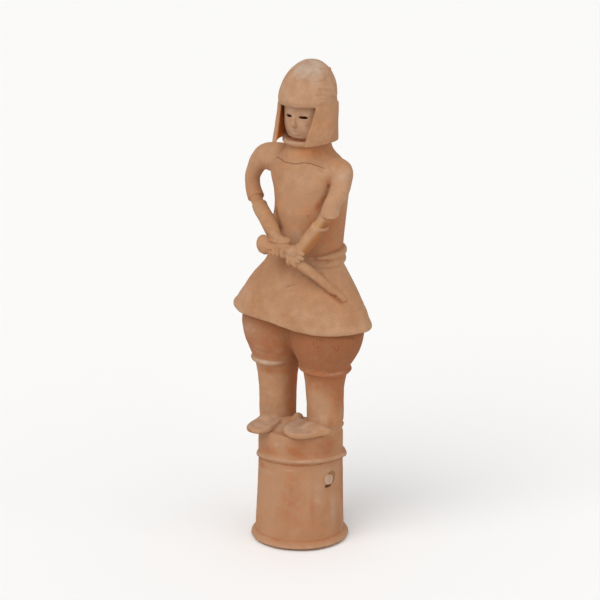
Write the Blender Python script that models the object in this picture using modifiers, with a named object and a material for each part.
"""Haniwa warrior: a fired-clay figure with both hands on its sword, standing on a hollow clay cylinder.

One body of clay, 1.28 m high. Metres, +Z up. The figure faces -Y, its own left side is +X, and the
underside of the base is at z = 0. Every clay part is worked out about the axis of the base cylinder,
which stands a little off the origin, so that the origin is the middle of the figure's box.
"""

import math

import bmesh
import bpy
from mathutils import Matrix, Vector

NAME = "haniwa_figure"
AXIS_PLACE = (-0.0033, 0.0080, 0.0)    # where the axis of the base cylinder stands

# base cylinder
WALL = 0.019
BASE_HEIGHT = 0.315
BASE_RADIUS = 0.1140               # at the top; the cylinder flares a little to its foot
BASE_FOOT_RADIUS = 0.1180
RIM_RADIUS = 0.1245                # the outer edge of the face it stands on
FLANGE_RADIUS = 0.1300
FLANGE_HEIGHT = 0.025
BAND_RADIUS = 0.1205
BAND_LEVEL = 0.2315
BAND_HEIGHT = 0.027
HOLE_RADIUS = 0.0185
HOLE_LEVEL = 0.185
HOLE_BEARING = math.radians(80)    # from the front round to the figure's left; the other is opposite
PLUG_RADIUS = 0.0165               # the left hole is stopped with clay, down to a slot
PLUG_PROUD = 0.003
SLOT_HEIGHT = 0.008
SLOT_WIDTH = 0.017

# legs and feet
LEG_OFFSET = 0.0765                # from the middle to each leg's axis
ANKLE_RADIUS = 0.0510
KNEE_RADIUS = 0.059
KNEE_LEVEL = 0.4860
KNEE_BAND_RADIUS = 0.0720
KNEE_BAND_HEIGHT = 0.016
THIGH_RADIUS = {-1: 0.098, 1: 0.105}    # the right leg, the left leg
THIGH_FLATNESS = 0.86              # the thighs are this much thinner front to back
THIGH_LEVEL = 0.585
HIP_LEVEL = 0.660                  # the thighs end inside the skirt
FOOT_THICKNESS = 0.020
FOOT_BOTTOM = 0.312
FOOT_RIGHT = ((-0.053, -0.139), (-0.022, -0.122), (-0.020, -0.070), (-0.045, -0.020), (-0.085, -0.025),
              (-0.092, -0.070), (-0.082, -0.125))
FOOT_LEFT = ((0.078, -0.136), (0.104, -0.085), (0.119, -0.036), (0.080, -0.012), (0.030, -0.020),
             (0.002, -0.060), (0.024, -0.112), (0.048, -0.130))

# skirt and trunk: height, half width, half depth, one line for each clay ring
HEM_SLOPE = 0.050                  # the hem hangs lower on the figure's left
SKIRT = (
    (0.636, 0.165, 0.088), (0.608, 0.184, 0.102), (0.601, 0.193, 0.110), (0.604, 0.202, 0.117),
    (0.614, 0.2055, 0.1205), (0.625, 0.2025, 0.119), (0.646, 0.187, 0.116), (0.670, 0.171, 0.112),
    (0.694, 0.1565, 0.107), (0.718, 0.140, 0.101), (0.742, 0.119, 0.093), (0.754, 0.110, 0.088),
)
BELT_ROLLS = (0.767, 0.7935)       # heights of the two rolls of the belt
BELT_ROLL_HEIGHT = 0.0255
BELT_WIDTH = 0.105
BELT_DEPTH = 0.085
BELT_PROUD = 0.010
TRUNK = (
    (0.808, 0.1025, 0.082), (0.835, 0.1000, 0.081), (0.870, 0.1005, 0.081), (0.905, 0.1015, 0.082),
    (0.950, 0.1055, 0.082), (0.980, 0.1090, 0.081), (1.004, 0.1120, 0.078), (1.022, 0.1060, 0.073),
    (1.037, 0.0890, 0.067), (1.049, 0.0730, 0.062), (1.060, 0.0625, 0.059), (1.076, 0.0580, 0.056),
)
LEAN = Vector((0.016, 0.023))      # the chest stands this far off the base's axis, left and back
LEAN_FROM = 0.580
LEAN_TO = 0.950

# head and helmet
HEAD_PLACE = Vector((0.012, 0.020))    # the axis of the head, off the base's axis
HEAD_RADIUS = 0.0600
CHIN_LEVEL = 1.090
BRIM_LEVEL = 1.176
BRIM_RADIUS = 0.0750
CROWN_LEVEL = 1.284
CROWN_BACK = 0.016                 # the crown lies this far behind the middle of the brim
GUARD_WALL = 0.012
GUARD_LEVEL = 1.0815               # lower edge of the cheek and neck guards
GUARD_TOP = 1.188
GUARD_RADIUS = 0.0775
GUARD_FORWARD = (0.115, 0.077)     # how far forward the guards' oval reaches, at its foot and its top
GUARD_FRONT = (0.893, 0.728)       # angle from the side to the front edge there
COLLAR_LEVEL = 1.082
COLLAR_RADIUS = 0.0610
COLLAR_THICKNESS = 0.0078
COLLAR_TILT = math.radians(8)      # the collar dips to the front
NOSE_LEVEL = 1.130
EYE_LEVEL = 1.148
EYE_SPACING = 0.046
EYE_SIZE = (0.026, 0.050, 0.0055)

# arms: points of the centre line with the radius there, shoulder to wrist
RIGHT_ARM = (
    (-0.070, 0.020, 1.006, 0.038), (-0.115, 0.020, 1.016, 0.0362), (-0.145, 0.012, 0.985, 0.0286),
    (-0.157, 0.006, 0.949, 0.0226), (-0.149, 0.000, 0.927, 0.0229), (-0.134, -0.010, 0.907, 0.0231),
)
RIGHT_FOREARM = (
    (-0.136, -0.006, 0.914, 0.0163), (-0.107, -0.027, 0.897, 0.0163), (-0.102, -0.030, 0.892, 0.0207),
    (-0.054, -0.068, 0.8705, 0.0190), (-0.006, -0.105, 0.849, 0.0158), (0.008, -0.110, 0.840, 0.0150),
)
LEFT_ARM = (
    (0.070, 0.020, 1.006, 0.038), (0.115, 0.012, 1.011, 0.0359), (0.132, -0.010, 0.980, 0.0260),
    (0.133, -0.032, 0.957, 0.0224), (0.130, -0.045, 0.934, 0.0215), (0.123, -0.055, 0.912, 0.0210),
)
LEFT_FOREARM = (
    (0.128, -0.050, 0.918, 0.0160), (0.115, -0.063, 0.888, 0.0160), (0.111, -0.066, 0.881, 0.0207),
    (0.088, -0.080, 0.848, 0.0192), (0.066, -0.092, 0.8144, 0.0157), (0.054, -0.098, 0.808, 0.0150),
)

# sword and hands
POMMEL_PLACE = (-0.031, -0.125, 0.827)
POMMEL_SIZE = (0.020, 0.018, 0.025)
GRIP = ((-0.031, -0.125, 0.827, 0.010), (0.015, -0.116, 0.822, 0.011), (0.052, -0.104, 0.800, 0.011))
SCABBARD = ((0.045, -0.107, 0.802, 0.0115), (0.059, -0.100, 0.790, 0.0120), (0.113, -0.062, 0.7345, 0.0120),
            (0.1575, -0.020, 0.678, 0.0105))
FINGERS = 4

CLAY_COLOUR = (0.48, 0.27, 0.15, 1.0)
CLAY_ROUGHNESS = 0.9
ROUND_STEPS = 32
LEG_STEPS = 24
ARM_ROUNDNESS = 3                  # gives ten sides
FINGER_ROUNDNESS = 1               # gives six sides
MERGE = 0.00005


def clear_scene():
    """Start from an empty scene."""
    for item in list(bpy.data.objects):
        bpy.data.objects.remove(item, do_unlink=True)


def make_collection(name, parent):
    """Add a collection under another one."""
    group = bpy.data.collections.new(name)
    parent.children.link(group)
    return group


def clay_material():
    """Matt, buff-orange fired clay."""
    clay = bpy.data.materials.new("fired_clay")
    clay.use_nodes = True
    shader = clay.node_tree.nodes["Principled BSDF"]
    shader.inputs["Base Color"].default_value = CLAY_COLOUR
    shader.inputs["Roughness"].default_value = CLAY_ROUGHNESS
    shader.inputs["Metallic"].default_value = 0.0
    return clay


def add_object(name, mesh, group, axis):
    """Put a mesh into a collection, on the figure's axis."""
    item = bpy.data.objects.new(name, mesh)
    item.parent = axis
    group.objects.link(item)
    return item


def bmesh_object(name, shape, group, axis):
    """Turn a bmesh into an object, with its faces pointing out."""
    bmesh.ops.recalc_face_normals(shape, faces=shape.faces)
    mesh = bpy.data.meshes.new(name)
    shape.to_mesh(mesh)
    shape.free()
    return add_object(name, mesh, group, axis)


def turned(name, profile, group, axis, place=(0.0, 0.0, 0.0), steps=ROUND_STEPS):
    """Turn a profile of (radius, height) points, which runs from the top down its outer side."""
    mesh = bpy.data.meshes.new(name)
    points = [(radius, 0.0, height) for radius, height in profile]
    mesh.from_pydata(points, [(i, i + 1) for i in range(len(points) - 1)], [])
    item = add_object(name, mesh, group, axis)
    item.location = place
    screw = item.modifiers.new("turn", "SCREW")
    screw.axis = "Z"
    screw.steps = steps
    screw.render_steps = steps
    screw.use_merge_vertices = True
    screw.merge_threshold = MERGE
    return item


def half_round(base_radius, proud_radius, level, height, steps=5):
    """Profile points of a half-round band, from its top edge down to its lower edge."""
    points = []
    for i in range(steps + 1):
        angle = math.pi * i / steps
        radius = base_radius + (proud_radius - base_radius) * math.sin(angle)
        points.append((radius, level + height / 2 * math.cos(angle)))
    return points


def lean_at(height):
    """How far the figure's middle stands off the base's axis at a height."""
    share = (height - LEAN_FROM) / (LEAN_TO - LEAN_FROM)
    return LEAN * min(max(share, 0.0), 1.0)


def oval_ring(height, half_width, half_depth, slope, steps=ROUND_STEPS):
    """Points of one oval clay ring round the leaning middle of the trunk."""
    middle = lean_at(height)
    points = []
    for i in range(steps):
        angle = 2 * math.pi * i / steps
        x = half_width * math.cos(angle)
        y = half_depth * math.sin(angle)
        points.append(Vector((middle.x + x, middle.y + y, height - slope * x)))
    return points


def loft(name, rings, group, axis):
    """Skin a row of rings that have the same number of points, and close both ends."""
    shape = bmesh.new()
    rows = [[shape.verts.new(point) for point in ring] for ring in rings]
    count = len(rows[0])
    for low, high in zip(rows, rows[1:]):
        for i in range(count):
            after = (i + 1) % count
            shape.faces.new((low[i], low[after], high[after], high[i]))
    shape.faces.new(list(reversed(rows[0])))
    shape.faces.new(rows[-1])
    return bmesh_object(name, shape, group, axis)


def tube(name, stations, group, axis, roundness=ARM_ROUNDNESS):
    """A round bar along (x, y, z, radius) stations, made as a curve and kept as a closed mesh."""
    curve = bpy.data.curves.new(name, "CURVE")
    curve.dimensions = "3D"
    curve.bevel_depth = 1.0
    curve.bevel_resolution = roundness
    curve.use_fill_caps = True
    spline = curve.splines.new("POLY")
    spline.points.add(len(stations) - 1)
    for point, (x, y, z, radius) in zip(spline.points, stations):
        point.co = (x, y, z, 1.0)
        point.radius = radius
    bar = bpy.data.objects.new(name, curve)
    group.objects.link(bar)
    bpy.context.view_layer.update()
    mesh = bpy.data.meshes.new_from_object(bar.evaluated_get(bpy.context.evaluated_depsgraph_get()))
    bpy.data.objects.remove(bar, do_unlink=True)
    bpy.data.curves.remove(curve)
    shape = bmesh.new()
    shape.from_mesh(mesh)
    bpy.data.meshes.remove(mesh)
    bmesh.ops.remove_doubles(shape, verts=shape.verts, dist=MERGE)
    return bmesh_object(name, shape, group, axis)


def smooth_stations(stations, between=2):
    """Add stations on a smooth line through the given ones."""
    points = [Vector(station) for station in stations]
    ends = [2 * points[0] - points[1]] + points + [2 * points[-1] - points[-2]]
    smooth = []
    for before, start, end, after in zip(ends, ends[1:], ends[2:], ends[3:]):
        for i in range(between + 1):
            t = i / (between + 1)
            smooth.append(0.5 * (2 * start + (end - before) * t
                                 + (2 * before - 5 * start + 4 * end - after) * t ** 2
                                 + (3 * start - before - 3 * end + after) * t ** 3))
    return [tuple(point) for point in smooth] + [tuple(points[-1])]


def ball(name, place, size, group, axis):
    """A rounded lump of clay with three half sizes."""
    shape = bmesh.new()
    bmesh.ops.create_uvsphere(shape, u_segments=12, v_segments=8, radius=1.0)
    matrix = Matrix.Translation(place) @ Matrix.Diagonal((*size, 1.0))
    bmesh.ops.transform(shape, matrix=matrix, verts=shape.verts)
    return bmesh_object(name, shape, group, axis)


def base_cylinder(group, axis):
    """The hollow base: open below, closed above, with a foot flange and a half-round band."""
    inner = BASE_RADIUS - WALL
    roof = BASE_HEIGHT - WALL
    profile = [(0.0, BASE_HEIGHT), (BASE_RADIUS - 0.006, BASE_HEIGHT), (BASE_RADIUS, BASE_HEIGHT - 0.008)]
    profile += half_round(BASE_RADIUS, BAND_RADIUS, BAND_LEVEL, BAND_HEIGHT)
    profile += [(BASE_FOOT_RADIUS - 0.001, 0.090), (BASE_FOOT_RADIUS, FLANGE_HEIGHT + 0.002)]
    profile += [(FLANGE_RADIUS - 0.004, FLANGE_HEIGHT - 0.006), (FLANGE_RADIUS, FLANGE_HEIGHT / 2)]
    profile += [(FLANGE_RADIUS - 0.001, 0.007), (RIM_RADIUS, 0.0)]
    profile += [(BASE_FOOT_RADIUS - WALL, 0.0), (inner, 0.100), (inner, roof - 0.010)]
    profile += [(inner - 0.010, roof), (0.0, roof)]
    return turned(NAME, profile, group, axis)


def leg(side, group, axis):
    """One leg: a column, the band below the knee, and the baggy thigh above it, which is oval."""
    top = KNEE_LEVEL + KNEE_BAND_HEIGHT / 2
    thigh = THIGH_RADIUS[side]
    bulge = thigh - KNEE_RADIUS - 0.010
    profile = [(thigh * 0.55, HIP_LEVEL), (thigh * 0.85, HIP_LEVEL - 0.020)]
    profile += [(thigh * 0.97, THIGH_LEVEL + 0.028), (thigh, THIGH_LEVEL)]
    for share, rise in ((0.88, 0.70), (0.66, 0.46), (0.36, 0.24)):
        profile.append((KNEE_RADIUS + 0.010 + bulge * share, top + (THIGH_LEVEL - top) * rise))
    profile += [(KNEE_RADIUS + 0.010, top + 0.003)]
    profile += half_round(KNEE_RADIUS + 0.001, KNEE_BAND_RADIUS, KNEE_LEVEL, KNEE_BAND_HEIGHT, 4)
    profile += [(KNEE_RADIUS - 0.004, KNEE_LEVEL - 0.030), (ANKLE_RADIUS + 0.001, KNEE_LEVEL - 0.070)]
    profile += [(ANKLE_RADIUS, BASE_HEIGHT + 0.030), (ANKLE_RADIUS, BASE_HEIGHT - 0.010)]
    rings = []
    for radius, height in reversed(profile):
        share = min(max((height - top) / (THIGH_LEVEL - top), 0.0), 1.0)
        depth = radius * (1.0 + (THIGH_FLATNESS - 1.0) * share)
        ring = []
        for i in range(LEG_STEPS):
            angle = 2 * math.pi * i / LEG_STEPS
            across = side * LEG_OFFSET + radius * math.cos(angle)
            ring.append(Vector((across, depth * math.sin(angle), height)))
        rings.append(ring)
    return loft(f"leg_{side}", rings, group, axis)


def foot(name, outline, group, axis):
    """A flat slab of clay in the shape of a foot, with a softened edge."""
    curve = bpy.data.curves.new(name, "CURVE")
    curve.dimensions = "2D"
    curve.fill_mode = "BOTH"
    curve.extrude = FOOT_THICKNESS / 2 - 0.004
    curve.bevel_depth = 0.004
    curve.bevel_resolution = 0
    curve.offset = -0.004
    spline = curve.splines.new("POLY")
    points = closed_outline(outline)
    spline.points.add(len(points) - 1)
    for point, (x, y) in zip(spline.points, points):
        point.co = (x, y, 0.0, 1.0)
    spline.use_cyclic_u = True
    slab = bpy.data.objects.new(name, curve)
    slab.location = (0.0, 0.0, FOOT_BOTTOM + FOOT_THICKNESS / 2)
    group.objects.link(slab)
    bpy.context.view_layer.update()
    mesh = bpy.data.meshes.new_from_object(slab.evaluated_get(bpy.context.evaluated_depsgraph_get()))
    mesh.transform(slab.matrix_world)
    bpy.data.objects.remove(slab, do_unlink=True)
    bpy.data.curves.remove(curve)
    shape = bmesh.new()
    shape.from_mesh(mesh)
    bpy.data.meshes.remove(mesh)
    bmesh.ops.remove_doubles(shape, verts=shape.verts, dist=MERGE)
    return bmesh_object(name, shape, group, axis)


def closed_outline(corners, between=2):
    """Points on a smooth closed line through the corners of an outline."""
    count = len(corners)
    points = []
    for i in range(count):
        before, start, end, after = (Vector(corners[(i + k) % count]) for k in (-1, 0, 1, 2))
        for j in range(between + 1):
            t = j / (between + 1)
            points.append(0.5 * (2 * start + (end - before) * t
                                 + (2 * before - 5 * start + 4 * end - after) * t ** 2
                                 + (3 * start - before - 3 * end + after) * t ** 3))
    return points


def feet(group, axis):
    """The two feet: the right points ahead and is round, the left turns out and has a corner."""
    foot("foot_right", FOOT_RIGHT, group, axis)
    foot("foot_left", FOOT_LEFT, group, axis)


def trunk(group, axis):
    """The skirt, the two rolls of the belt, the chest and the neck, as one stack of clay rings."""
    hem = SKIRT[0][0]
    waist = SKIRT[-1][0]
    rings = []
    for height, width, depth in SKIRT:
        share = (waist - height) / (waist - hem)
        rings.append(oval_ring(height, width, depth, HEM_SLOPE * max(share, 0.0)))
    for level in BELT_ROLLS:
        for proud, height in reversed(half_round(0.0, BELT_PROUD, level, BELT_ROLL_HEIGHT * 0.98, 4)):
            rings.append(oval_ring(height, BELT_WIDTH + proud, BELT_DEPTH + proud, 0.0))
    for height, width, depth in TRUNK:
        rings.append(oval_ring(height, width, depth, 0.0))
    return loft("trunk", rings, group, axis)


def head_place(height):
    """A point on the axis of the head."""
    return (HEAD_PLACE.x, HEAD_PLACE.y, height)


def head(group, axis):
    """The face block, its nose, and the collar round the neck."""
    profile = [(0.0, BRIM_LEVEL + 0.020), (HEAD_RADIUS, BRIM_LEVEL + 0.020)]
    profile += [(HEAD_RADIUS, CHIN_LEVEL + 0.042), (HEAD_RADIUS * 0.97, CHIN_LEVEL + 0.024)]
    profile += [(HEAD_RADIUS * 0.86, CHIN_LEVEL + 0.007), (HEAD_RADIUS * 0.68, CHIN_LEVEL)]
    profile += [(HEAD_RADIUS * 0.62, CHIN_LEVEL - 0.030), (0.0, CHIN_LEVEL - 0.030)]
    turned("head", profile, group, axis, head_place(0.0), 28)
    nose_place = (HEAD_PLACE.x, HEAD_PLACE.y - HEAD_RADIUS, NOSE_LEVEL)
    ball("nose", nose_place, (0.008, 0.009, 0.019), group, axis)
    bpy.ops.mesh.primitive_torus_add(major_segments=32, minor_segments=8, major_radius=COLLAR_RADIUS,
                                     minor_radius=COLLAR_THICKNESS)
    collar = bpy.context.object
    collar.name = "collar"
    collar.location = head_place(COLLAR_LEVEL)
    collar.rotation_euler = (COLLAR_TILT, 0.0, 0.0)
    collar.parent = axis
    for home in list(collar.users_collection):
        home.objects.unlink(collar)
    group.objects.link(collar)


def helmet(group, axis):
    """The domed helmet, its crown set back, with guards that hang over the cheeks and the neck."""
    middle = head_place(0.0)
    rings = []
    for i in range(10):
        if i == 0:
            rise, width = 0.0, 1.0
        else:
            angle = math.pi / 2 * (i - 1) / 8.4
            rise = 0.22 + 0.78 * math.sin(angle)
            width = math.cos(angle) ** 0.80
        height = BRIM_LEVEL + (CROWN_LEVEL - BRIM_LEVEL) * rise
        back = CROWN_BACK * (rise - 0.3)
        ring = []
        for k in range(ROUND_STEPS):
            turn = 2 * math.pi * k / ROUND_STEPS
            across = middle[0] + BRIM_RADIUS * width * math.cos(turn)
            deep = middle[1] + back + BRIM_RADIUS * width * math.sin(turn)
            ring.append(Vector((across, deep, height)))
        rings.append(ring)
    loft("helmet", rings, group, axis)
    guards(group, axis)


def guards(group, axis):
    """A curved plate from one cheek round the back to the other, its front edges leaning forward."""
    shape = bmesh.new()
    steps = 26
    rows = []
    for level in (GUARD_LEVEL, 1.115, 1.150, GUARD_TOP):
        rise = (level - GUARD_LEVEL) / (GUARD_TOP - GUARD_LEVEL)
        forward = GUARD_FORWARD[0] + (GUARD_FORWARD[1] - GUARD_FORWARD[0]) * rise
        front = GUARD_FRONT[0] + (GUARD_FRONT[1] - GUARD_FRONT[0]) * rise
        for inset in (0.0, GUARD_WALL):
            row = []
            for i in range(steps + 1):
                angle = (math.pi + 2 * front) * i / steps - front
                reach = GUARD_RADIUS if math.sin(angle) > 0.0 else forward
                row.append(shape.verts.new((HEAD_PLACE.x + (GUARD_RADIUS - inset) * math.cos(angle),
                                            HEAD_PLACE.y + (reach - inset) * math.sin(angle), level)))
            rows.append(row)
    for low in range(0, len(rows) - 2, 2):
        for offset in (0, 1):
            lower = rows[low + offset]
            upper = rows[low + 2 + offset]
            for i in range(steps):
                shape.faces.new((lower[i], lower[i + 1], upper[i + 1], upper[i]))
        for i in (0, steps):
            shape.faces.new((rows[low][i], rows[low + 1][i], rows[low + 3][i], rows[low + 2][i]))
    for outer, inner in ((rows[0], rows[1]), (rows[-2], rows[-1])):
        for i in range(steps):
            shape.faces.new((outer[i], outer[i + 1], inner[i + 1], inner[i]))
    return bmesh_object("guards", shape, group, axis)


def arms(group, axis):
    """Both arms: a sleeve that ends in a cuff, and a forearm guard that runs to the wrist."""
    tube("sleeve_right", smooth_stations(RIGHT_ARM), group, axis)
    tube("forearm_right", RIGHT_FOREARM, group, axis)
    tube("sleeve_left", smooth_stations(LEFT_ARM), group, axis)
    tube("forearm_left", LEFT_FOREARM, group, axis)


def hands(group, axis):
    """The right hand over the grip, the left hand below it at the mouth of the scabbard."""
    ball("palm_right", (0.014, -0.114, 0.835), (0.024, 0.016, 0.012), group, axis)
    ball("palm_left", (0.046, -0.104, 0.810), (0.018, 0.015, 0.015), group, axis)
    for i in range(FINGERS):
        across = -0.006 + 0.0125 * i
        top = (across, -0.126, 0.832 - 0.002 * i, 0.0062)
        tip = (across + 0.002, -0.129, 0.809 - 0.003 * i, 0.0052)
        tube(f"finger_right_{i}", (top, tip), group, axis, FINGER_ROUNDNESS)
        across = 0.036 + 0.010 * i
        top = (across, -0.119 + 0.004 * i, 0.807 - 0.003 * i, 0.0060)
        tip = (across - 0.004, -0.120 + 0.004 * i, 0.785 - 0.003 * i, 0.0050)
        tube(f"finger_left_{i}", (top, tip), group, axis, FINGER_ROUNDNESS)


def sword(group, axis):
    """The sword: a bulbous pommel, the grip between the hands, and the scabbard on the skirt."""
    ball("pommel", POMMEL_PLACE, POMMEL_SIZE, group, axis)
    tube("grip", GRIP, group, axis)
    tube("scabbard", SCABBARD, group, axis)


def side_holes(cuts, patches, axis):
    """The round hole on the right, and on the left the stopped hole with the slot left below it."""
    outward = Vector((math.sin(HOLE_BEARING), -math.cos(HOLE_BEARING), 0.0))
    upright = outward.to_track_quat("Z", "Y").to_matrix().to_4x4()
    hole = bmesh.new()
    bmesh.ops.create_cone(hole, cap_ends=True, segments=20, radius1=HOLE_RADIUS, radius2=HOLE_RADIUS,
                          depth=0.060)
    place = Matrix.Translation(-outward * BASE_RADIUS + Vector((0.0, 0.0, HOLE_LEVEL)))
    bmesh.ops.transform(hole, matrix=place @ upright, verts=hole.verts)
    bmesh_object("hole_right", hole, cuts, axis)
    slot = bmesh.new()
    bmesh.ops.create_cube(slot, size=1.0)
    low = Vector((0.0, 0.0, HOLE_LEVEL - PLUG_RADIUS - SLOT_HEIGHT / 2 + 0.002))
    turn = Matrix.Rotation(HOLE_BEARING - math.pi / 2, 4, "Z")
    size = Matrix.Diagonal((0.060, SLOT_WIDTH, SLOT_HEIGHT, 1.0))
    bmesh.ops.transform(slot, matrix=Matrix.Translation(outward * BASE_RADIUS + low) @ turn @ size,
                        verts=slot.verts)
    bmesh_object("slot_left", slot, cuts, axis)
    plug = bmesh.new()
    bmesh.ops.create_cone(plug, cap_ends=True, segments=20, radius1=PLUG_RADIUS, radius2=PLUG_RADIUS,
                          depth=0.010)
    face = Matrix.Translation(outward * (BASE_RADIUS - 0.003 + PLUG_PROUD) + Vector((0.0, 0.0, HOLE_LEVEL)))
    bmesh.ops.transform(plug, matrix=face @ upright, verts=plug.verts)
    bmesh_object("plug_left", plug, patches, axis)


def eye_slits(cuts, axis):
    """Two level slits that open the face."""
    for side in (-1, 1):
        slit = bmesh.new()
        bmesh.ops.create_cube(slit, size=1.0)
        place = (HEAD_PLACE.x + side * EYE_SPACING / 2, HEAD_PLACE.y - HEAD_RADIUS, EYE_LEVEL)
        bmesh.ops.transform(slit, matrix=Matrix.Translation(place) @ Matrix.Diagonal((*EYE_SIZE, 1.0)),
                            verts=slit.verts)
        bmesh_object(f"eye_slit_{side}", slit, cuts, axis)


def join_and_cut(body, parts, cuts):
    """Join the clay parts to the base and cut the openings, with Booleans that stay live."""
    for name, operation, group in (("join", "UNION", parts), ("cut", "DIFFERENCE", cuts)):
        boolean = body.modifiers.new(name, "BOOLEAN")
        boolean.operation = operation
        boolean.operand_type = "COLLECTION"
        boolean.collection = group
        boolean.solver = "EXACT"
        for item in group.objects:
            item.hide_render = True
            item.display_type = "WIRE"


def main():
    """Build the figure."""
    clear_scene()
    scene_root = bpy.context.scene.collection
    figure_group = make_collection(NAME, scene_root)
    parts = make_collection("clay_parts", scene_root)
    cuts = make_collection("openings", scene_root)
    axis = bpy.data.objects.new("base_axis", None)
    axis.location = AXIS_PLACE
    figure_group.objects.link(axis)

    body = base_cylinder(figure_group, axis)
    for side in (-1, 1):
        leg(side, parts, axis)
    feet(parts, axis)
    trunk(parts, axis)
    head(parts, axis)
    helmet(parts, axis)
    arms(parts, axis)
    hands(parts, axis)
    sword(parts, axis)
    side_holes(cuts, parts, axis)
    eye_slits(cuts, axis)
    join_and_cut(body, parts, cuts)
    body.data.materials.append(clay_material())


main()
